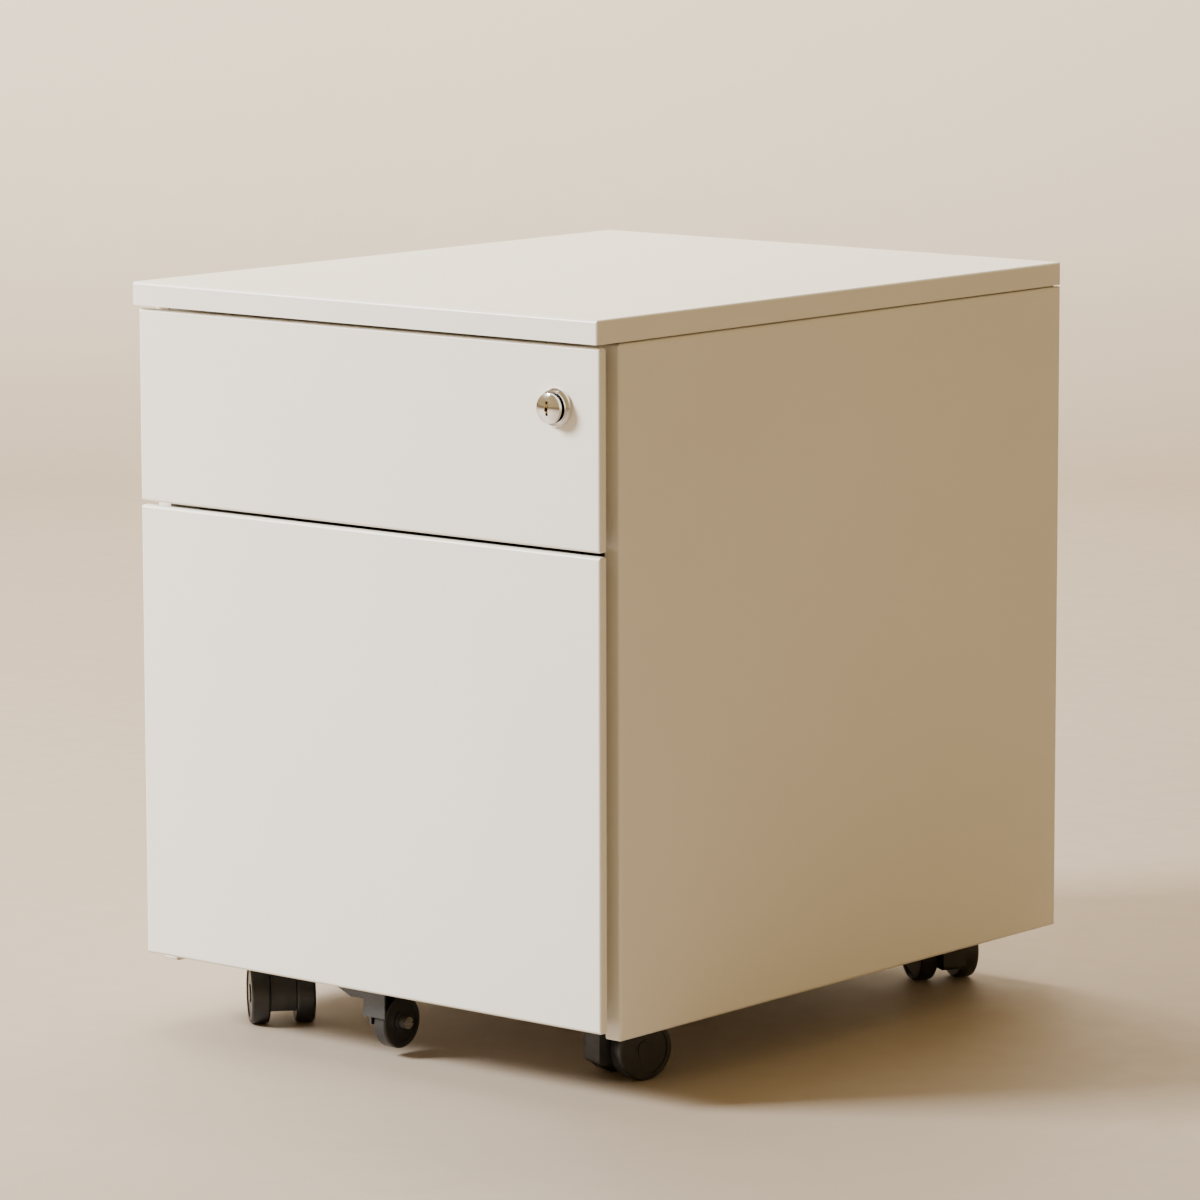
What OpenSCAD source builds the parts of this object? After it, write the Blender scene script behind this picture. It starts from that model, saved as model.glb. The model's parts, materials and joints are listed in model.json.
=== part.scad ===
// Mobile pedestal filing cabinet: folded sheet steel body, one box drawer over one file
// drawer, cam lock with a lifting lock bar, four twin-wheel castors and an anti-tip wheel.
// +Z up, drawers open towards -Y, origin at the middle of the footprint on the floor.

/* [Cabinet] */
// Width over the side panels
cab_w = 390; // [350:5:480]
// Depth of the top panel, front edge to back edge
cab_d = 480; // [400:5:600]
// Height of the steel body, from the side panels' bottom edge to the top
body_h = 448; // [400:2:620]
// Height of the side panels' bottom edge above the floor
floor_gap = 40; // [40:1:60]
// Height of the top panel's skirt
top_h = 15; // [12:0.5:20]
// Thickness of the sheet steel
sheet = 1; // [0.8:0.05:1.2]
// Outside radius of the folded edges
bend_r = 2; // [1.5:0.1:2.5]

/* [Drawer fronts] */
// Height of the box drawer's front
box_front_h = 125; // [110:1:160]
// Gap under the top panel and between the two fronts
front_gap = 2.5; // [2:0.1:4]
// Distance from each front's side edge to the cabinet's side
side_inset = 1.5; // [0.5:0.1:3]
// Depth of the folded edge round each drawer front
front_return = 5.5; // [4:0.5:8]
// Set-back of the drawer fronts behind the top panel's front edge
front_setback = 4; // [1:0.5:8]
// Set-back of the body's front flanges behind the drawer fronts
flange_setback = 17; // [14:0.5:24]
// Width of the body's front flanges
flange_w = 12; // [11:0.5:16]
// How far the side panels reach below the file drawer's front
toe_drop = 7; // [4:0.5:12]
// How far the drawers open
travel = 400; // [150:5:520]

/* [Lock] */
// Distance from the lock's axis to the box drawer front's right edge
lock_inset = 34; // [30:1:60]
// Distance from the lock's axis to the box drawer front's top edge
lock_drop = 38; // [34:1:50]
// Diameter of the trim ring
rosette_d = 24; // [21:0.5:28]
// Diameter of the plug's domed cap
plug_cap_d = 18.6; // [16:0.2:19]
// How far the plug stands out from the drawer front
lock_out = 10; // [8:0.5:14]
// Lift of the lock bar when the cam has turned a quarter
bar_lift = 12; // [10:1:14]

/* [Castors] */
// Diameter of the castor wheels
wheel_d = 40; // [33:1:48]
// Width of each castor wheel
wheel_w = 12.5; // [10:0.5:14]
// Width of the hood between the two wheels
hood_w = 16.6; // [14:0.2:20]
// Distance between the swivel axis and the wheel axle
castor_trail = 17; // [14:1:18]
// Distance from the front swivel axes to the top panel's front edge
castor_front = 72; // [68:1:100]
// Distance from the circle the rear castors sweep to the cabinet's back
castor_back = 2.4; // [1:0.1:60]
// Distance from the circle the castors sweep to the side panels' folds
castor_play = 0.4; // [0.4:0.1:20]
// Resting direction of each castor: front left, front right, rear left, rear right
castor_angles = [-41, 74, 20, 150];
// Diameter of the anti-tip wheel
tip_wheel_d = 34.4; // [30:0.2:36]
// Height of the anti-tip wheel above the floor
tip_clear = 5; // [3:0.5:8]

/* [Hidden] */
$fn = 96;

IVORY = [0.89, 0.87, 0.82];
ZINC = [0.72, 0.73, 0.75];
CHROME = [0.82, 0.82, 0.84];
BLACK = [0.07, 0.07, 0.08];
CHARCOAL = [0.16, 0.16, 0.17];

// Planes along Y
plug_past_top = lock_out - front_setback;
y_top = -(cab_d + plug_past_top) / 2 + plug_past_top;
y_face = y_top + front_setback;
y_body = y_face + flange_setback;
y_back = y_top + cab_d;

// Levels along Z
z_top = floor_gap + body_h;
z_skirt = z_top - top_h;
z_side_top = z_skirt - 1;
z_box_top = z_skirt - front_gap;
z_box_bottom = z_box_top - box_front_h;
z_file_top = z_box_bottom - front_gap;
z_file_bottom = floor_gap + toe_drop;
file_front_h = z_file_top - z_file_bottom;
castor_h = wheel_d + 12;
z_base = castor_h + sheet;
base_skirt = 10;

// Drawer fronts, stiffeners and trays
front_w = cab_w - 2 * side_inset;
front_lip = 6;
stiff_margin = 20;
hem = 5;
tray_play = 0.2;
slide_t = 12.7;
x_slide = cab_w / 2 - flange_w;
tray_w = 2 * (x_slide - slide_t - tray_play);
tray_l = cab_d - 50;
tray_drop = 20;
box_tray_z = z_box_bottom + 12;
box_tray_h = z_box_top - tray_drop - box_tray_z;
file_tray_z = z_base + 9;
file_tray_h = z_file_top - tray_drop - file_tray_z;

// Telescopic slides
slide_h = 45.5;
rail_t = 1.2;
back_skirt = 12;
y_outer = y_body + 16;
slide_l = y_back - back_skirt - 1 - y_outer;
y_inner = y_body + 12;
inner_l = tray_l - 13;
z_upper_slide = box_tray_z + 30;
z_lower_slide = file_tray_z + 60;
side_lip = 26;
screw_ys = [y_body + 21, y_back - 20];

// Lock
x_lock = front_w / 2 - lock_inset;
z_lock = z_box_top - lock_drop;
rosette_t = 3;
flange_t = 2;
groove = 1.5;
barrel_r = 9;
core_r = 6;
core_play = 0.05;
barrel_back = y_face + 21;
cam_y = y_face + 23;
cam_t = 2.5;
cam_w = 9;
cam_l = x_slide - x_lock - 5;
nut_r = 11.6;
nut_play = 0.9;
access_r = 11;
stiff_w = 2 * (x_lock + nut_r + nut_play + sheet);

// Lock bar, just inside the right-hand slide mounting plane
bar_t = 1.8;
x_bar = x_slide - 0.3 - bar_t;
bar_w = 10;
y_bar = y_body + 3;
tab_x = x_slide - slide_t + 1.6;
tab_z = z_lock + cam_w / 2 + 0.5 - bar_lift;
lug_z = z_file_top - 55;
bar_bottom = lug_z - bar_lift - 10;
guide_zs = [lug_z + 22, lug_z + 64];

// Castors
wheel_r = wheel_d / 2;
axle_r = 3;
stem_r = 4;
thread_r = 5;
wheel_gap = 0.3;
z_collar = z_base - sheet - 2.5;
z_hood_top = z_collar - 0.3;
castor_sweep = sqrt(pow(castor_trail + wheel_r, 2) + pow(hood_w / 2 + wheel_gap + wheel_w, 2));
castor_xs = x_slide - castor_sweep - castor_play;
castor_ys = y_back - castor_sweep - castor_back;
castor_spots = [
    [-castor_xs, y_top + castor_front], [castor_xs, y_top + castor_front],
    [-castor_xs, castor_ys], [castor_xs, castor_ys]
];

// Anti-tip wheel
tip_r = tip_wheel_d / 2;
tip_w = 10;
y_tip = y_top + 38;
z_tip = tip_clear + tip_r;
bracket_t = 1.5;
z_leg = floor_gap - 13;
tip_chord = sqrt(pow(tip_r, 2) - pow(max(0, z_leg - z_tip), 2));
y_bracket = y_tip - tip_chord - 0.4 - bracket_t;
bracket_l = 52;

// ---- shared shapes ----

// Rectangle with rounded corners, centred
module rounded_rect(w, h, r) {
    square([w - 2 * r, h], center = true);
    square([w, h - 2 * r], center = true);
    for (sx = [-1, 1], sy = [-1, 1])
        translate([sx * (w / 2 - r), sy * (h / 2 - r)]) circle(r);
}

// Section through a folded edge: rounded at y = 0, square at y = d
module fold_section(w, d, r) {
    translate([-w / 2, r]) square([w, d - r]);
    translate([-w / 2 + r, 0]) square([w - 2 * r, d]);
    for (s = [-1, 1]) translate([s * (w / 2 - r), r]) circle(r);
}

// Solid block whose face lies on z = 0 with its four edges rounded
module pan_block(w, h, d, r) {
    intersection() {
        linear_extrude(d) rounded_rect(w, h, r);
        rotate([90, 0, 0]) linear_extrude(h + 2, center = true) fold_section(w, d, r);
        rotate([90, 0, 90]) linear_extrude(w + 2, center = true) fold_section(h, d, r);
    }
}

// Folded sheet pan: face on z = 0, edges d deep, with an optional lip turned inwards
module folded_pan(w, h, d, r, lip = 0) {
    cavity_d = lip > 0 ? d - 2 * sheet : d;
    difference() {
        pan_block(w, h, d, r);
        translate([0, 0, sheet])
            pan_block(w - 2 * sheet, h - 2 * sheet, cavity_d, r - sheet);
        if (lip > 0)
            translate([0, 0, d - sheet - 0.5])
                linear_extrude(sheet + 1)
                    square([w - 2 * (sheet + lip), h - 2 * (sheet + lip)], center = true);
    }
}

// Extrude an X-Z outline along Y, from y = 0 to y = len
module along_y(len) {
    translate([0, len, 0]) rotate([90, 0, 0]) linear_extrude(len) children();
}

// Cylinder along Y, starting at y = 0
module y_cylinder(r, len) {
    rotate([-90, 0, 0]) cylinder(r = r, h = len);
}

// Cylinder along X, starting at x = 0
module x_cylinder(r, len) {
    rotate([0, 90, 0]) cylinder(r = r, h = len);
}

// ---- body ----

module top_panel() {
    color(IVORY) {
        translate([0, (y_top + y_back) / 2, z_top])
            rotate([180, 0, 0]) folded_pan(cab_w, cab_d, top_h, bend_r);
        translate([-cab_w / 2 + sheet, y_top + sheet / 2, z_skirt])
            cube([cab_w - 2 * sheet, flange_setback, sheet]);
    }
}

// Right-hand side panel: a pan with its lip facing the drawers
module side_panel() {
    side_h = z_side_top - floor_gap;
    side_l = y_back - y_body;
    color(IVORY) {
        difference() {
            translate([cab_w / 2, (y_body + y_back) / 2, (floor_gap + z_side_top) / 2])
                rotate([0, -90, 0]) folded_pan(side_h, side_l, flange_w, bend_r, side_lip);
            for (y = screw_ys, z = [z_upper_slide, z_lower_slide])
                translate([x_slide - 1, y, z]) x_cylinder(2.1, sheet + 2);
        }
        // tongue that reaches up inside the top panel's skirt, set in for a shadow line
        translate([cab_w / 2 - 4.5 * sheet, y_body + 4, z_side_top - sheet / 2])
            cube([sheet, side_l - 8, top_h - 4]);
    }
}

module right_side_panel() { side_panel(); }
module left_side_panel() { mirror([1, 0, 0]) side_panel(); }

module back_panel() {
    back_z0 = max(floor_gap, wheel_d) + 1;
    back_h = z_side_top - 1 - back_z0;
    color(IVORY)
        translate([0, y_back, back_z0 + back_h / 2])
            rotate([90, 0, 0])
                folded_pan(2 * x_slide - 0.4, back_h, back_skirt, bend_r);
}

// Floor of the body, open below, with a recess for the anti-tip wheel
module base_panel() {
    base_y0 = y_body + 1.5;
    base_y1 = y_back - back_skirt - 1;
    notch_y1 = y_bracket + bracket_l + 10;
    notch_x0 = -60;
    notch_w = 90;
    color(IVORY)
        difference() {
            translate([0, (base_y0 + base_y1) / 2, z_base])
                rotate([180, 0, 0])
                    folded_pan(2 * x_slide - 0.4, base_y1 - base_y0, base_skirt, bend_r);
            for (spot = castor_spots)
                translate([spot[0], spot[1], z_base - 3]) cylinder(r = thread_r + 0.3, h = 6);
            translate([notch_x0, base_y0 - 1, z_base - base_skirt - 1])
                cube([notch_w, notch_y1 - base_y0 + 1, base_skirt + 2]);
        }
}

// Cross rail behind the top panel's front edge
module front_top_rail() {
    rail_h = z_side_top - (box_tray_z + box_tray_h) - 3.5;
    rail_w = 2 * x_slide - 0.4;
    color(IVORY)
        translate([0, y_body, z_side_top - rail_h / 2])
            rotate([-90, 0, 0]) folded_pan(rail_w, rail_h, 20, bend_r);
}

// Two straps that hold the lock bar against the right-hand side panel
module lock_bar_guides() {
    strap_x = x_bar - 0.3 - sheet;
    color(ZINC)
        for (z = guide_zs) {
            translate([strap_x, y_bar - 0.3 - sheet, z])
                cube([sheet, bar_w + 0.6 + 2 * sheet, 8]);
            for (y = [y_bar - 0.3 - sheet, y_bar + bar_w + 0.3])
                translate([strap_x, y, z]) cube([x_slide - strap_x, sheet, 8]);
        }
}

// ---- telescopic slides: t runs from the cabinet (0) to the drawer ----

module outer_rail_section() {
    difference() {
        translate([0, -slide_h / 2]) square([9, slide_h]);
        translate([rail_t, -slide_h / 2 + rail_t]) square([9, slide_h - 2 * rail_t]);
    }
    for (s = [-1, 1])
        translate([9 - rail_t, s > 0 ? slide_h / 2 - 3 : -slide_h / 2]) square([rail_t, 3]);
}

// Channel section standing on its web at t0, open towards the other side
module channel_section(t0, t1, h, web_at_end) {
    difference() {
        translate([t0, -h / 2]) square([t1 - t0, h]);
        translate([web_at_end ? t0 - 1 : t0 + rail_t, -h / 2 + rail_t])
            square([t1 - t0 + 1 - rail_t, h - 2 * rail_t]);
    }
}

module outer_rail() {
    difference() {
        along_y(slide_l) outer_rail_section();
        for (y = screw_ys) translate([-1, y - y_outer, 0]) x_cylinder(2.1, 3);
    }
}

module middle_rail() {
    difference() {
        along_y(slide_l - 10) channel_section(4.4, 11.1, 35.6, false);
        // tool windows in the web
        for (y = [60, slide_l / 2, slide_l - 80])
            translate([3.4, y, -5]) cube([3, 30, 10]);
    }
}

module inner_rail() {
    difference() {
        along_y(inner_l) channel_section(6.4, slide_t, 27, true);
        for (y = [30, inner_l / 2, inner_l - 30])
            translate([slide_t - 3, y, 0]) x_cylinder(2.2, 4);
    }
}

// Put a slide member on the left or right (side = -1 or 1)
module on_side(side, y, z) {
    translate([side * x_slide, y, z])
        mirror([side > 0 ? 1 : 0, 0, 0]) children();
}

module left_upper_outer_rail() { color(ZINC) on_side(-1, y_outer, z_upper_slide) outer_rail(); }
module right_upper_outer_rail() { color(ZINC) on_side(1, y_outer, z_upper_slide) outer_rail(); }
module left_lower_outer_rail() { color(ZINC) on_side(-1, y_outer, z_lower_slide) outer_rail(); }
module right_lower_outer_rail() { color(ZINC) on_side(1, y_outer, z_lower_slide) outer_rail(); }

module left_upper_middle_rail() { color(ZINC) on_side(-1, y_outer, z_upper_slide) middle_rail(); }
module right_upper_middle_rail() { color(ZINC) on_side(1, y_outer, z_upper_slide) middle_rail(); }
module left_lower_middle_rail() { color(ZINC) on_side(-1, y_outer, z_lower_slide) middle_rail(); }
module right_lower_middle_rail() { color(ZINC) on_side(1, y_outer, z_lower_slide) middle_rail(); }

module left_upper_inner_rail() { color(ZINC) on_side(-1, y_inner, z_upper_slide) inner_rail(); }
module right_upper_inner_rail() { color(ZINC) on_side(1, y_inner, z_upper_slide) inner_rail(); }
module left_lower_inner_rail() { color(ZINC) on_side(-1, y_inner, z_lower_slide) inner_rail(); }
module right_lower_inner_rail() { color(ZINC) on_side(1, y_inner, z_lower_slide) inner_rail(); }

// Pan-head screws that fix the outer rails to the side panels
module rail_screws() {
    color(ZINC)
        for (side = [-1, 1], y = screw_ys, z = [z_upper_slide, z_lower_slide])
            on_side(side, y, z) {
                translate([-3, 0, 0]) x_cylinder(2, 3 + rail_t);
                translate([rail_t, 0, 0]) x_cylinder(3.6, 1.6);
            }
}

// ---- drawers ----

module drawer_front(z0, h) {
    translate([0, y_face, z0 + h / 2])
        rotate([-90, 0, 0]) folded_pan(front_w, h, front_return, bend_r, front_lip);
}

// Shallow pan that joins the front to the tray, set in from the sides for the fingers
module front_stiffener(z_low, z_high) {
    translate([0, y_body, (z_low + z_high) / 2])
        rotate([90, 0, 0])
            folded_pan(stiff_w, z_high - z_low, flange_setback - sheet, bend_r);
}

// Open-topped tray with a hem turned in along its sides and back
module drawer_tray(z0, h) {
    translate([0, y_body + tray_l / 2, z0])
        difference() {
            pan_block(tray_w, tray_l, h, bend_r);
            translate([0, 0, sheet])
                pan_block(tray_w - 2 * sheet, tray_l - 2 * sheet, h - 2 * sheet, bend_r - sheet);
            translate([0, 0, h - sheet - 0.5])
                linear_extrude(sheet + 1)
                    square([tray_w - 2 * hem, tray_l - 2 * hem], center = true);
        }
}

// Cut-out through sheet on the lock's axis
module lock_hole(r, y0, len) {
    translate([x_lock, y0, z_lock]) y_cylinder(r, len);
}

module box_drawer_front() {
    color(IVORY)
        difference() {
            drawer_front(z_box_bottom, box_front_h);
            lock_hole(barrel_r + 0.2, y_face - 1, 4);
        }
}

module box_drawer_stiffener() {
    color(IVORY)
        difference() {
            front_stiffener(z_box_bottom + stiff_margin, z_box_top - stiff_margin);
            lock_hole(access_r, y_body - 3, 6);
        }
}

module box_drawer_tray() {
    color(IVORY)
        difference() {
            drawer_tray(box_tray_z, box_tray_h);
            lock_hole(access_r, y_body - 2, 6);
            // slot the cam swings through
            translate([tray_w / 2 - 4, cam_y - 1.5, z_lock - cam_l - 2])
                cube([8, cam_t + 3, cam_l + cam_w / 2 + 4]);
        }
}

module pencil_tray() {
    tray_x = 320;
    tray_y = 92;
    tray_z = 22;
    cells = [[104, -103], [96, 0], [104, 103]];
    color(CHARCOAL)
        translate([0, y_body + sheet + 12 + tray_y / 2, box_tray_z + sheet])
            difference() {
                linear_extrude(tray_z) rounded_rect(tray_x, tray_y, 6);
                for (cell = cells)
                    translate([cell[1], 0, 2])
                        linear_extrude(tray_z) rounded_rect(cell[0] - 6, tray_y - 6, 5);
            }
}

module file_drawer_front() {
    color(IVORY) drawer_front(z_file_bottom, file_front_h);
}

module file_drawer_stiffener() {
    color(IVORY)
        front_stiffener(max(z_file_bottom + stiff_margin, file_tray_z + 2), z_file_top - stiff_margin);
}

module file_drawer_tray() {
    color(IVORY) drawer_tray(file_tray_z, file_tray_h);
}

// Bar along the tray's rim that suspension files hang from
module hanging_rail() {
    color(ZINC)
        translate([tray_w / 2 - hem - 2, y_body + 14, file_tray_z + file_tray_h - 14])
            cube([2, tray_l - 28, 18]);
}

module right_hanging_rail() { hanging_rail(); }
module left_hanging_rail() { mirror([1, 0, 0]) hanging_rail(); }

// Angle on the file tray's side that the lock bar's hook stops
module file_latch_lug() {
    lug_y = y_bar + 5;
    color(ZINC) {
        translate([tray_w / 2, lug_y, lug_z]) cube([8, 2, 14]);
        translate([tray_w / 2, lug_y, lug_z]) cube([1.5, 20, 14]);
    }
}

// ---- lock ----

module lock_rosette() {
    color(CHROME)
        translate([x_lock, y_face, z_lock])
            rotate([90, 0, 0])
                rotate_extrude() {
                    polygon([
                        [barrel_r + 0.05, 0], [rosette_d / 2, 0], [rosette_d / 2, rosette_t - 0.8],
                        [rosette_d / 2 - 0.8, rosette_t], [barrel_r + 0.05, rosette_t]
                    ]);
                }
}

module lock_housing() {
    flange_r = rosette_d / 2 - 1.6;
    color(CHROME)
        difference() {
            union() {
                translate([x_lock, y_face - rosette_t, z_lock])
                    y_cylinder(barrel_r, barrel_back - y_face + rosette_t);
                translate([x_lock, y_face - rosette_t - flange_t, z_lock])
                    y_cylinder(flange_r, flange_t);
            }
            lock_hole(core_r + core_play, y_face - 10, barrel_back - y_face + 20);
        }
}

module lock_nut() {
    color(ZINC)
        difference() {
            translate([x_lock, y_face + sheet, z_lock])
                rotate([-90, 30, 0]) cylinder(r = nut_r, h = 4, $fn = 6);
            lock_hole(barrel_r + 0.05, y_face - 1, 8);
        }
}

// Turning plug: domed cap with a keyway, and the core that carries the cam
module lock_plug() {
    cap_r = plug_cap_d / 2;
    cap_y = y_face - rosette_t - flange_t - groove;
    cap_t = lock_out - rosette_t - flange_t - groove;
    dome_r = 28;
    color(CHROME)
        difference() {
            union() {
                intersection() {
                    translate([x_lock, cap_y - cap_t, z_lock]) y_cylinder(cap_r, cap_t);
                    translate([x_lock, cap_y - cap_t + dome_r, z_lock]) sphere(dome_r);
                    translate([x_lock, cap_y - cap_t, z_lock])
                        rotate([-90, 0, 0]) cylinder(r1 = cap_r - 1.2, r2 = cap_r + 6, h = 7.2);
                }
                translate([x_lock, cap_y - 0.5, z_lock])
                    y_cylinder(core_r, cam_y - cap_y + 0.5);
            }
            // keyway with its side ward
            translate([x_lock - 1, cap_y - cap_t - 1, z_lock - 4.4]) cube([2, 9, 8.8]);
            translate([x_lock - 2, cap_y - cap_t - 1, z_lock - 1.8]) cube([3, 9, 2.4]);
            // threaded hole for the cam screw
            lock_hole(2, cam_y - 9, 12);
        }
}

module lock_cam() {
    color(ZINC)
        translate([x_lock, cam_y, z_lock])
            difference() {
                union() {
                    y_cylinder(7, cam_t);
                    translate([-cam_w / 2, 0, -cam_l]) cube([cam_w, cam_t, cam_l]);
                }
                translate([0, -1, 0]) y_cylinder(2.1, cam_t + 2);
            }
}

module lock_cam_screw() {
    color(ZINC)
        translate([x_lock, cam_y, z_lock])
            difference() {
                union() {
                    translate([0, -7, 0]) y_cylinder(1.95, 7 + cam_t);
                    translate([0, cam_t, 0]) y_cylinder(4, 2.4);
                }
                // cross recess
                translate([-2.2, cam_t + 1.2, -0.5]) cube([4.4, 2, 1]);
                translate([-0.5, cam_t + 1.2, -2.2]) cube([1, 2, 4.4]);
            }
}

// Flat bar with the tab the cam lifts and the hook that stops the file drawer
module lock_bar() {
    bar_top = tab_z + 2;
    hook_z = lug_z - bar_lift + 2;
    color(ZINC) {
        translate([x_bar, y_bar, bar_bottom]) cube([bar_t, bar_w, bar_top - bar_bottom]);
        translate([tab_x, y_bar, tab_z]) cube([x_bar + bar_t - tab_x, bar_w, 2]);
        translate([tab_x, y_bar, tab_z - 8]) cube([x_bar + bar_t - tab_x, 2, 10]);
        translate([tab_x, y_bar + 1, hook_z]) cube([x_bar + bar_t - tab_x, 3, 8]);
    }
}

// ---- castors: local X is the trailing direction, local Y the axle ----

module at_castor(i) {
    translate([castor_spots[i][0], castor_spots[i][1], 0])
        rotate([0, 0, castor_angles[i]]) children();
}

// Outline of the hood between the wheels
module hood_outline() {
    hood_bottom = 10.5;
    hood_back_z = wheel_d + 2;
    difference() {
        union() {
            translate([-10, hood_bottom + 3]) square([castor_trail + 10, hood_back_z - hood_bottom - 3]);
            translate([-7, hood_bottom]) square([castor_trail + 13, 8]);
            translate([-7, hood_bottom + 3]) circle(3);
            translate([castor_trail, wheel_r]) circle(wheel_r - 2.5);
        }
        translate([-20, -20]) square([80, 20 + hood_bottom]);
    }
}

module castor_hood(i) {
    neck_z = wheel_d + 0.6;
    color(BLACK)
        at_castor(i)
            difference() {
                union() {
                    translate([0, -hood_w / 2, 0]) along_y(hood_w) hood_outline();
                    translate([0, 0, neck_z]) cylinder(r = 11, h = z_hood_top - neck_z);
                }
                translate([0, 0, 14]) cylinder(r = stem_r + 0.05, h = z_hood_top);
                translate([castor_trail, -hood_w, wheel_r]) y_cylinder(axle_r + 0.05, 2 * hood_w);
            }
}

module castor_axle(i) {
    axle_half = hood_w / 2 + wheel_w - 3;
    color(ZINC)
        at_castor(i)
            translate([castor_trail, -axle_half, wheel_r]) y_cylinder(axle_r, 2 * axle_half);
}

// Moulded wheel: rounded tread edges, dished outer face with a hub
module castor_wheel(i, side) {
    edge = 2;
    color(BLACK)
        at_castor(i)
            translate([castor_trail, side * (hood_w / 2 + wheel_gap), wheel_r])
                rotate([side > 0 ? -90 : 90, 0, 0])
                    rotate_extrude()
                        difference() {
                            union() {
                                square([wheel_r - edge, wheel_w]);
                                translate([0, edge]) square([wheel_r, wheel_w - 2 * edge]);
                                for (y = [edge, wheel_w - edge])
                                    translate([wheel_r - edge, y]) circle(edge);
                            }
                            translate([6, wheel_w - 0.8]) square([wheel_r - 10, 1]);
                            translate([-1, -1]) square([1, wheel_w + 2]);
                            square([axle_r + 0.02, wheel_w - 3 - wheel_gap + 0.1]);
                        }
}

module castor_stems() {
    color(ZINC)
        for (spot = castor_spots)
            translate([spot[0], spot[1], 0]) {
                translate([0, 0, 15]) cylinder(r = stem_r, h = z_collar - 15);
                translate([0, 0, z_collar]) cylinder(r = 8, h = z_base - sheet - z_collar);
                translate([0, 0, z_base - sheet]) cylinder(r = thread_r, h = sheet + 6.5);
            }
}

module castor_nuts() {
    color(ZINC)
        for (spot = castor_spots)
            translate([spot[0], spot[1], z_base])
                difference() {
                    cylinder(r = 9.2, h = 5, $fn = 6);
                    translate([0, 0, -1]) cylinder(r = thread_r + 0.03, h = 7);
                }
}

module front_left_castor_hood() { castor_hood(0); }
module front_left_castor_axle() { castor_axle(0); }
module front_left_castor_wheel_a() { castor_wheel(0, -1); }
module front_left_castor_wheel_b() { castor_wheel(0, 1); }
module front_right_castor_hood() { castor_hood(1); }
module front_right_castor_axle() { castor_axle(1); }
module front_right_castor_wheel_a() { castor_wheel(1, -1); }
module front_right_castor_wheel_b() { castor_wheel(1, 1); }
module rear_left_castor_hood() { castor_hood(2); }
module rear_left_castor_axle() { castor_axle(2); }
module rear_left_castor_wheel_a() { castor_wheel(2, -1); }
module rear_left_castor_wheel_b() { castor_wheel(2, 1); }
module rear_right_castor_hood() { castor_hood(3); }
module rear_right_castor_axle() { castor_axle(3); }
module rear_right_castor_wheel_a() { castor_wheel(3, -1); }
module rear_right_castor_wheel_b() { castor_wheel(3, 1); }

// ---- anti-tip wheel under the file drawer ----

// Folded bracket: flange under the tray, front plate, and the cheek that holds the axle
module anti_tip_bracket() {
    z_flange = file_tray_z - bracket_t;
    z_lip = floor_gap - 2;
    cheek_x = -tip_w - 0.5 - bracket_t;
    color(CHARCOAL)
        difference() {
            union() {
                translate([-42, y_bracket, z_flange]) cube([43, bracket_l, bracket_t]);
                translate([0, y_bracket, 0])
                    along_y(bracket_t)
                        polygon([
                            [-42, z_flange + 1], [-42, z_lip + 6], [-28, z_lip], [-17, z_lip],
                            [-17, z_leg], [1, z_leg], [1, z_flange + 1]
                        ]);
                translate([cheek_x, y_bracket, z_tip]) cube([bracket_t, 32, z_flange - z_tip]);
                translate([cheek_x, y_tip, z_tip]) x_cylinder(9, bracket_t);
            }
            translate([cheek_x - 1, y_tip, z_tip]) x_cylinder(axle_r + 0.03, bracket_t + 2);
        }
}

module anti_tip_axle() {
    cheek_x = -tip_w - 0.5 - bracket_t;
    color(ZINC)
        difference() {
            union() {
                translate([cheek_x, y_tip, z_tip]) x_cylinder(axle_r, 4.5 - cheek_x);
                translate([0.4, y_tip, z_tip]) x_cylinder(3.9, 5);
                translate([cheek_x - 3, y_tip, z_tip]) x_cylinder(5.5, 3);
            }
            // screwdriver slot in the head
            translate([4.4, y_tip - 6, z_tip - 0.6]) cube([2, 12, 1.2]);
        }
}

module anti_tip_wheel() {
    edge = 1.5;
    color(BLACK)
        translate([-tip_w, y_tip, z_tip])
            rotate([0, 90, 0])
                rotate_extrude()
                    difference() {
                        union() {
                            square([tip_r - edge, tip_w]);
                            translate([0, edge]) square([tip_r, tip_w - 2 * edge]);
                            for (y = [edge, tip_w - edge])
                                translate([tip_r - edge, y]) circle(edge);
                        }
                        translate([7, tip_w - 0.8]) square([tip_r - 11, 1]);
                        translate([-1, -1]) square([axle_r + 1.06, tip_w + 2]);
                    }
}

top_panel();
left_side_panel();
right_side_panel();
back_panel();
base_panel();
front_top_rail();
lock_bar_guides();
rail_screws();
castor_stems();
castor_nuts();
left_upper_outer_rail();
right_upper_outer_rail();
left_lower_outer_rail();
right_lower_outer_rail();
left_upper_middle_rail();
right_upper_middle_rail();
left_lower_middle_rail();
right_lower_middle_rail();
left_upper_inner_rail();
right_upper_inner_rail();
left_lower_inner_rail();
right_lower_inner_rail();
box_drawer_front();
box_drawer_stiffener();
box_drawer_tray();
pencil_tray();
lock_rosette();
lock_housing();
lock_nut();
lock_plug();
lock_cam();
lock_cam_screw();
lock_bar();
file_drawer_front();
file_drawer_stiffener();
file_drawer_tray();
left_hanging_rail();
right_hanging_rail();
file_latch_lug();
anti_tip_bracket();
anti_tip_axle();
anti_tip_wheel();
front_left_castor_hood();
front_left_castor_axle();
front_left_castor_wheel_a();
front_left_castor_wheel_b();
front_right_castor_hood();
front_right_castor_axle();
front_right_castor_wheel_a();
front_right_castor_wheel_b();
rear_left_castor_hood();
rear_left_castor_axle();
rear_left_castor_wheel_a();
rear_left_castor_wheel_b();
rear_right_castor_hood();
rear_right_castor_axle();
rear_right_castor_wheel_a();
rear_right_castor_wheel_b();
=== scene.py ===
import json
import math

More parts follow.
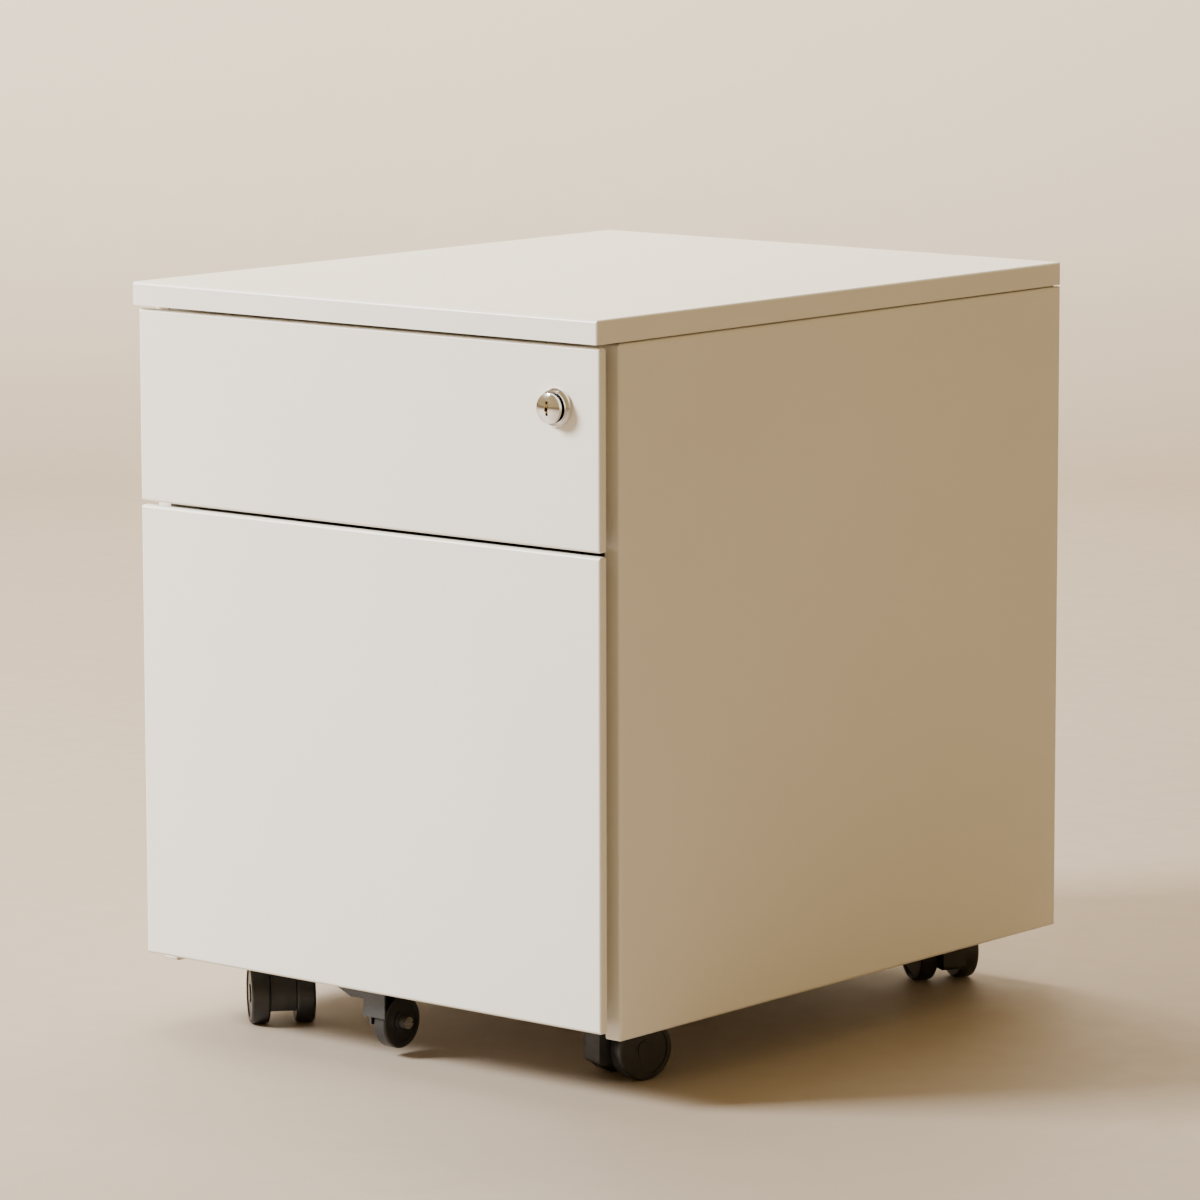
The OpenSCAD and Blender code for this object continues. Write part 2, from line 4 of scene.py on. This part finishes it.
import bmesh
import bpy
from mathutils import Matrix, Vector


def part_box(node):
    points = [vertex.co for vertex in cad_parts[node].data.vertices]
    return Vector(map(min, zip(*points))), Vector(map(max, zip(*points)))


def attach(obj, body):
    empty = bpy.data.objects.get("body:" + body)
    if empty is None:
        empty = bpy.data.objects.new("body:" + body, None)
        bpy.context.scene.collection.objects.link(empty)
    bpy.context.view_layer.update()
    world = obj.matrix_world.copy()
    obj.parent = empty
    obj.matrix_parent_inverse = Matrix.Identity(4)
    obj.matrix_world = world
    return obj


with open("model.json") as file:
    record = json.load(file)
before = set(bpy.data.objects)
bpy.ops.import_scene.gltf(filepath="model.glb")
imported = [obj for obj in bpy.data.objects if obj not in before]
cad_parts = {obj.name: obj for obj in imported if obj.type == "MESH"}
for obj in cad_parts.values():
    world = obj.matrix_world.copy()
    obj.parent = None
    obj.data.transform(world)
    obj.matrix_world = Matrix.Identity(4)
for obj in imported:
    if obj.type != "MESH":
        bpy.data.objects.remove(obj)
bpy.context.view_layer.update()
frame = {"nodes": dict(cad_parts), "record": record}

scene = bpy.context.scene

MM = 0.001


# ---------------------------------------------------------------- materials

class Mat:
    """A small builder for one node material."""

    def __init__(self, name):
        self.mat = bpy.data.materials.new(name)
        self.mat.use_nodes = True
        self.nt = self.mat.node_tree
        self.nt.nodes.clear()
        self.out = self.node("ShaderNodeOutputMaterial")
        self.bsdf = self.node("ShaderNodeBsdfPrincipled")
        self.link(self.bsdf, "BSDF", self.out, "Surface")
        self.coords = self.node("ShaderNodeTexCoord")

    def node(self, kind, **values):
        n = self.nt.nodes.new(kind)
        for key, value in values.items():
            setattr(n, key, value)
        return n

    def link(self, a, a_out, b, b_in):
        self.nt.links.new(a.outputs[a_out], b.inputs[b_in])

    def set(self, **values):
        for key, value in values.items():
            self.bsdf.inputs[key].default_value = value

    def noise(self, scale, detail=2.0, rough=0.5, stretch=None):
        """Noise on the object's own coordinates; stretch scales the three axes."""
        n = self.node("ShaderNodeTexNoise")
        n.inputs["Scale"].default_value = scale
        n.inputs["Detail"].default_value = detail
        n.inputs["Roughness"].default_value = rough
        if stretch:
            m = self.node("ShaderNodeMapping")
            m.inputs["Scale"].default_value = stretch
            self.link(self.coords, "Object", m, "Vector")
            self.link(m, "Vector", n, "Vector")
        else:
            self.link(self.coords, "Object", n, "Vector")
        return n

    def ramp(self, source, socket, stops, to=None, to_in=None):
        """Colour ramp over a value; a stop's colour is (r, g, b), or (grey,)."""
        r = self.node("ShaderNodeValToRGB")
        while len(r.color_ramp.elements) < len(stops):
            r.color_ramp.elements.new(0.5)
        for e, (pos, col) in zip(r.color_ramp.elements, stops):
            e.position = pos
            e.color = (*col, 1) if len(col) == 3 else (col[0], col[0], col[0], 1)
        self.link(source, socket, r, "Fac")
        if to is not None:
            self.link(r, "Color", to, to_in)
        return r

    def remap(self, source, socket, lo, hi, to=None, to_in=None,
              from_lo=0.3, from_hi=0.7):
        """Straight map of a value to lo..hi; noise lies mostly in 0.3..0.7."""
        m = self.node("ShaderNodeMapRange")
        m.inputs["From Min"].default_value = from_lo
        m.inputs["From Max"].default_value = from_hi
        m.inputs["To Min"].default_value = lo
        m.inputs["To Max"].default_value = hi
        self.link(source, socket, m, "Value")
        if to is not None:
            self.link(m, "Result", to, to_in)
        return m

    def multiply(self, a, b, to, to_in):
        """Product of two ramps' colours."""
        mix = self.node("ShaderNodeMix", data_type="RGBA", blend_type="MULTIPLY")
        mix.inputs["Factor"].default_value = 1.0
        self.link(a, "Color", mix, "A")
        self.link(b, "Color", mix, "B")
        self.link(mix, "Result", to, to_in)

    def bumps(self, *layers):
        """Chain of (node, socket, strength, distance in metres) into the normal."""
        last = None
        for source, socket, strength, distance in layers:
            b = self.node("ShaderNodeBump")
            b.inputs["Strength"].default_value = strength
            b.inputs["Distance"].default_value = distance
            self.link(source, socket, b, "Height")
            if last:
                self.link(last, "Normal", b, "Normal")
            last = b
        self.link(last, "Normal", self.bsdf, "Normal")


def powder_coat():
    """Satin ivory powder coat: faint orange peel, fine grain, slightly uneven tone."""
    m = Mat("ivory_powder_coat")
    cloud = m.noise(7, 3)
    grain = m.noise(2600, 2, 0.6)
    m.set(Metallic=0.0, IOR=1.5)
    tone = m.ramp(cloud, "Fac", [(0.3, (0.825, 0.800, 0.745)),
                                 (0.7, (0.850, 0.826, 0.772))])
    speck = m.ramp(grain, "Fac", [(0.35, (0.97,)), (0.65, (1.0,))])
    m.multiply(tone, speck, m.bsdf, "Base Color")
    m.remap(m.noise(90, 3), "Fac", 0.29, 0.37, m.bsdf, "Roughness")
    peel = m.noise(650, 2, 0.5)
    m.bumps((peel, "Fac", 0.10, 0.0004), (grain, "Fac", 0.06, 0.0001))
    return m.mat


def zinc():
    """Bright zinc plate, drawn along y, with a cloudy passivation tone."""
    m = Mat("zinc_plated_steel")
    cloud = m.noise(35, 4)
    drawn = m.noise(30, 3, 0.6, (60, 1, 60))
    tint = (0.62, 0.63, 0.65)
    dull = tuple(c * 0.82 for c in tint)
    warm = (tint[0] * 1.12, tint[1] * 1.10, tint[2] * 1.02)
    m.ramp(cloud, "Fac", [(0.25, dull), (0.55, tint), (0.8, warm)],
           m.bsdf, "Base Color")
    m.set(Metallic=1.0)
    m.remap(drawn, "Fac", 0.22, 0.42, m.bsdf, "Roughness")
    m.bumps((drawn, "Fac", 0.12, 0.0002))
    return m.mat


def chrome():
    """Bright chrome with a faint haze and fine scratches round the lock."""
    m = Mat("chrome")
    haze = m.noise(260, 4, 0.6)
    scratch = m.noise(90, 3, 0.6, (1, 1, 22))
    m.ramp(haze, "Fac", [(0.3, (0.78, 0.78, 0.79)), (0.7, (0.86, 0.86, 0.87))],
           m.bsdf, "Base Color")
    m.set(Metallic=1.0)
    m.remap(haze, "Fac", 0.06, 0.14, m.bsdf, "Roughness")
    m.bumps((scratch, "Fac", 0.05, 0.0001))
    return m.mat


def plastic(name, dark, light, rough, grain_scale, grain_strength):
    """Dark plastic or coat: a fine grain and an uneven sheen between two roughnesses."""
    m = Mat(name)
    cloud = m.noise(60, 4)
    m.ramp(cloud, "Fac", [(0.3, dark), (0.75, light)], m.bsdf, "Base Color")
    m.set(Metallic=0.0, IOR=1.52)
    m.remap(m.noise(220, 3), "Fac", *rough, m.bsdf, "Roughness")
    grain = m.noise(grain_scale, 2, 0.55)
    m.bumps((grain, "Fac", grain_strength, 0.00015))
    return m.mat


finish = {
    "ivory_powder_coat": powder_coat(),
    "zinc_plated_steel": zinc(),
    "chrome": chrome(),
    # The anti-tip bracket's near-black base colour is painted shade: it darkens the bracket
    # to the shadow it sits in under the cabinet's front.
    "black_coated_steel": plastic(
        "black_coated_steel", (0.018, 0.020, 0.024), (0.034, 0.037, 0.044),
        (0.22, 0.36), 900, 0.06),
    "wheel_plastic": plastic(
        "wheel_plastic", (0.010, 0.010, 0.012), (0.022, 0.022, 0.025),
        (0.28, 0.42), 1500, 0.10),
    "hood_plastic": plastic(
        "hood_plastic", (0.012, 0.012, 0.014), (0.026, 0.026, 0.029),
        (0.40, 0.55), 2200, 0.25),
    "tray_plastic": plastic(
        "tray_plastic", (0.030, 0.030, 0.033), (0.048, 0.048, 0.052),
        (0.42, 0.58), 1800, 0.30),
}

slots = {s["node"]: s["material_slot"] for s in frame["record"]["subparts"]}
for name, obj in frame["nodes"].items():
    obj.data.materials.clear()
    obj.data.materials.append(finish[slots[name]])


# ---------------------------------------------------------------- added pieces

BROKEN_EDGE = 0.2       # a box's broken edge, as a share of its thinnest side
BALL_AROUND = 20        # points round a ball
BALL_UP = 12            # bands of faces from a ball's bottom to its top


class Shape:
    """Collects points and faces of one added piece."""

    def __init__(self):
        self.points, self.faces = [], []

    def add(self, points, faces):
        base = len(self.points)
        self.points += [tuple(p) for p in points]
        self.faces += [tuple(base + i for i in f) for f in faces]

    def box(self, lo, hi):
        """A box with broken edges: an octagonal prism whose two ends are drawn in."""
        cut = min(b - a for a, b in zip(lo, hi)) * BROKEN_EDGE
        rings = []
        for z, inset in ((lo[2], cut), (lo[2] + cut, 0), (hi[2] - cut, 0), (hi[2], cut)):
            x0, x1, y0, y1 = lo[0] + inset, hi[0] - inset, lo[1] + inset, hi[1] - inset
            c = max(cut - inset, cut * 0.3)
            rings.append([(x0 + c, y0, z), (x1 - c, y0, z), (x1, y0 + c, z), (x1, y1 - c, z),
                          (x1 - c, y1, z), (x0 + c, y1, z), (x0, y1 - c, z), (x0, y0 + c, z)])
        faces = [tuple(range(7, -1, -1)), tuple(range(24, 32))]
        for r in range(3):
            for k in range(8):
                n = (k + 1) % 8
                faces.append((r * 8 + k, r * 8 + n, r * 8 + 8 + n, r * 8 + 8 + k))
        self.add([p for ring in rings for p in ring], faces)

    def ball(self, centre, radius):
        """A ball of rings of points between two poles."""
        points = [(0, 0, -1)]
        for j in range(1, BALL_UP):
            a = math.pi * (j / BALL_UP - 0.5)
            points += [(math.cos(a) * math.cos(2 * math.pi * k / BALL_AROUND),
                        math.cos(a) * math.sin(2 * math.pi * k / BALL_AROUND),
                        math.sin(a))
                       for k in range(BALL_AROUND)]
        points.append((0, 0, 1))
        faces = []
        top_ring = 1 + (BALL_UP - 2) * BALL_AROUND
        for k in range(BALL_AROUND):
            n = (k + 1) % BALL_AROUND
            faces.append((0, 1 + n, 1 + k))
            for j in range(BALL_UP - 2):
                a, b = 1 + j * BALL_AROUND, 1 + (j + 1) * BALL_AROUND
                faces.append((a + k, a + n, b + n, b + k))
            faces.append((top_ring + k, top_ring + n, len(points) - 1))
        self.add([[c + radius * v for c, v in zip(centre, p)] for p in points], faces)

    def piece(self, name, body, material, slot=None, smooth=False):
        """Turn the shape into a piece that rides on a body."""
        mesh = bpy.data.meshes.new(name)
        mesh.from_pydata(self.points, [], self.faces)
        mesh.materials.append(material)
        mesh.polygons.foreach_set("use_smooth", [smooth] * len(mesh.polygons))
        obj = bpy.data.objects.new(name, mesh)
        scene.collection.objects.link(obj)
        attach(obj, body)


# The rows of balls on a middle rail, in mm. The outer row runs in the outer rail at the back,
# and the inner row in the inner rail at the front.
#            from the web, from mid height, ball radius, row's start and end from the front
OUTER_ROW = (1.9, 19.67, 1.68, 215, 395)
INNER_ROW = (4.9, 15.05, 1.38, 6, 186)
BALLS_IN_ROW = 12
CAGE_HALF_SHEET = 0.35
CAGE_CLEARANCE = 0.15   # the cage is lower than its balls by this at both edges


def ball_cages(side, level):
    """Two rows of balls above and two below, held in thin cages on the middle rail."""
    sign = -1 if side == "left" else 1
    rail_lo, rail_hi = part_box(f"{side}_{level}_middle_rail")
    mid_z = (rail_lo.z + rail_hi.z) / 2
    web_x = rail_lo.x if sign < 0 else rail_hi.x
    cage, balls = Shape(), Shape()
    for inset, height, radius, start, end in (OUTER_ROW, INNER_ROW):
        x = web_x - sign * inset * MM
        for up in (-1, 1):
            z = mid_z + up * height * MM
            a, b = rail_lo.y + start * MM, rail_lo.y + end * MM
            half = (radius - CAGE_CLEARANCE) * MM
            cage.box((x - CAGE_HALF_SHEET * MM, a, z - half),
                     (x + CAGE_HALF_SHEET * MM, b, z + half))
            for k in range(BALLS_IN_ROW):
                balls.ball((x, a + (b - a) * (k + 0.5) / BALLS_IN_ROW, z), radius * MM)
    body = f"{side}_{level}_slide_member"
    cage.piece(f"{side}_{level}_ball_cages", body, finish["zinc_plated_steel"],
               "zinc_plated_steel")
    balls.piece(f"{side}_{level}_balls", body, finish["chrome"], "chrome", smooth=True)


for level in ("upper", "lower"):
    for side in ("left", "right"):
        ball_cages(side, level)


def key_wafers():
    """Brass wafers standing in the plug's keyway."""
    m = Mat("key_brass")
    m.ramp(m.noise(900, 3), "Fac",
           [(0.3, (0.42, 0.28, 0.12)), (0.7, (0.62, 0.44, 0.20))],
           m.bsdf, "Base Color")
    m.set(Metallic=1.0)
    m.remap(m.noise(1400, 2), "Fac", 0.25, 0.45, m.bsdf, "Roughness")
    plug_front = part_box("lock_plug")[0].y
    ring_lo, ring_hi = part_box("lock_rosette")
    x, z = (ring_lo.x + ring_hi.x) / 2, (ring_lo.z + ring_hi.z) / 2
    heights = (0.0, 0.9, -0.7, 0.5)         # mm, each wafer's own height in the keyway
    first, pitch = 2.2, 1.3                 # mm behind the plug's front, and apart
    half_width, sheet = 0.95, 0.6           # mm
    below, above = 3.3, 2.4                 # mm from the lock's axis to a wafer's ends
    wafers = Shape()
    for k, height in enumerate(heights):
        y = plug_front + (first + k * pitch) * MM
        wafers.box((x - half_width * MM, y, z + (height - below) * MM),
                   (x + half_width * MM, y + sheet * MM, z + (height + above) * MM))
    wafers.piece("lock_key_wafers", "lock_core", m.mat)


key_wafers()


# ---------------------------------------------------------------- stage, light and camera

def backdrop():
    """A wide pale floor that sweeps up into a pale wall far behind the object."""
    front, back, half = -9.0, 2.6, 9.0      # m, the floor's ends and half its width
    radius, steps = 0.6, 16                 # m, the bend from floor to wall
    wall_top = 5.0                          # m
    facing = 39.8                           # degrees, square to the camera
    profile = [(front, 0.0), (back, 0.0)]
    profile += [(back + radius * math.sin(a), radius - radius * math.cos(a))
                for a in (math.pi / 2 * k / steps for k in range(1, steps + 1))]
    profile.append((back + radius, wall_top))
    turn = Matrix.Rotation(math.radians(facing), 4, "Z")
    bm = bmesh.new()
    left, right = ([bm.verts.new(turn @ Vector((x, y, z))) for y, z in profile]
                   for x in (-half, half))
    for k in range(len(profile) - 1):
        face = bm.faces.new((left[k], right[k], right[k + 1], left[k + 1]))
        face.smooth = True
    mesh = bpy.data.meshes.new("backdrop")
    bm.to_mesh(mesh)
    bm.free()
    obj = bpy.data.objects.new("backdrop", mesh)
    scene.collection.objects.link(obj)
    m = Mat("pale_backdrop")
    tone = m.ramp(m.noise(1.2, 4), "Fac", [(0.3, (0.96,)), (0.7, (1.0,))])
    split = m.node("ShaderNodeSeparateXYZ")
    m.link(m.coords, "Object", split, "Vector")
    rise = m.remap(split, "Z", 0, 1, from_lo=0.0, from_hi=0.7)
    floor_to_wall = m.ramp(rise, "Result", [(0.0, (0.37, 0.31, 0.25)),
                                            (1.0, (0.92, 0.83, 0.71))])
    m.multiply(floor_to_wall, tone, m.bsdf, "Base Color")
    m.remap(m.noise(40, 4), "Fac", 0.55, 0.65, m.bsdf, "Roughness")
    obj.data.materials.append(m.mat)


backdrop()


def warm_room():
    """Even warm light from all round, which colours the side that the key misses."""
    world = bpy.data.worlds.new("studio")
    scene.world = world
    world.use_nodes = True
    background = world.node_tree.nodes["Background"]
    background.inputs["Color"].default_value = (0.80, 0.57, 0.26, 1)
    background.inputs["Strength"].default_value = 0.72


warm_room()


def area_light(name, place, aim, size, power, colour):
    """A rectangular light at a place, turned towards another; power in watts."""
    data = bpy.data.lights.new(name, "AREA")
    data.shape = "RECTANGLE"
    data.size, data.size_y = size
    data.energy = power
    data.color = colour
    obj = bpy.data.objects.new(name, data)
    obj.location = place
    obj.rotation_mode = "QUATERNION"
    obj.rotation_quaternion = (Vector(aim) - Vector(place)).to_track_quat("-Z", "Y")
    scene.collection.objects.link(obj)


area_light("key", place=(-1.85, -2.05, 2.0), aim=(0, 0, 0.22),
           size=(1.0, 1.0), power=305, colour=(1.0, 0.985, 0.95))
area_light("wall_wash", place=(-1.2, 0.9, 3.4), aim=(-1.9, 2.9, 1.0),
           size=(2.4, 1.2), power=230, colour=(1.0, 0.92, 0.78))


def camera():
    """The camera looks at the cabinet's middle from its front right, a little above it."""
    azimuth, elevation, roll = (math.radians(a) for a in (39.845, 8.645, -0.122))
    distance, aside, above = 3.9258, -0.00921, 0.02157      # m from the target
    back = Vector((math.sin(azimuth) * math.cos(elevation),
                   -math.cos(azimuth) * math.cos(elevation), math.sin(elevation)))
    right = Vector((math.cos(azimuth), math.sin(azimuth), 0))
    up = back.cross(right)
    target = Vector((0, 0.013, 0.248))
    place = target + back * distance + right * aside + up * above
    x_axis = right * math.cos(roll) + up * math.sin(roll)
    y_axis = up * math.cos(roll) - right * math.sin(roll)
    data = bpy.data.cameras.new("camera")
    data.sensor_fit = "HORIZONTAL"
    data.sensor_width = 36.0
    data.lens = 178.33
    data.clip_start, data.clip_end = 0.1, 50
    obj = bpy.data.objects.new("camera", data)
    obj.matrix_world = Matrix.Translation(place) @ Matrix(
        (x_axis, y_axis, back)).transposed().to_4x4()
    scene.collection.objects.link(obj)
    scene.camera = obj


camera()
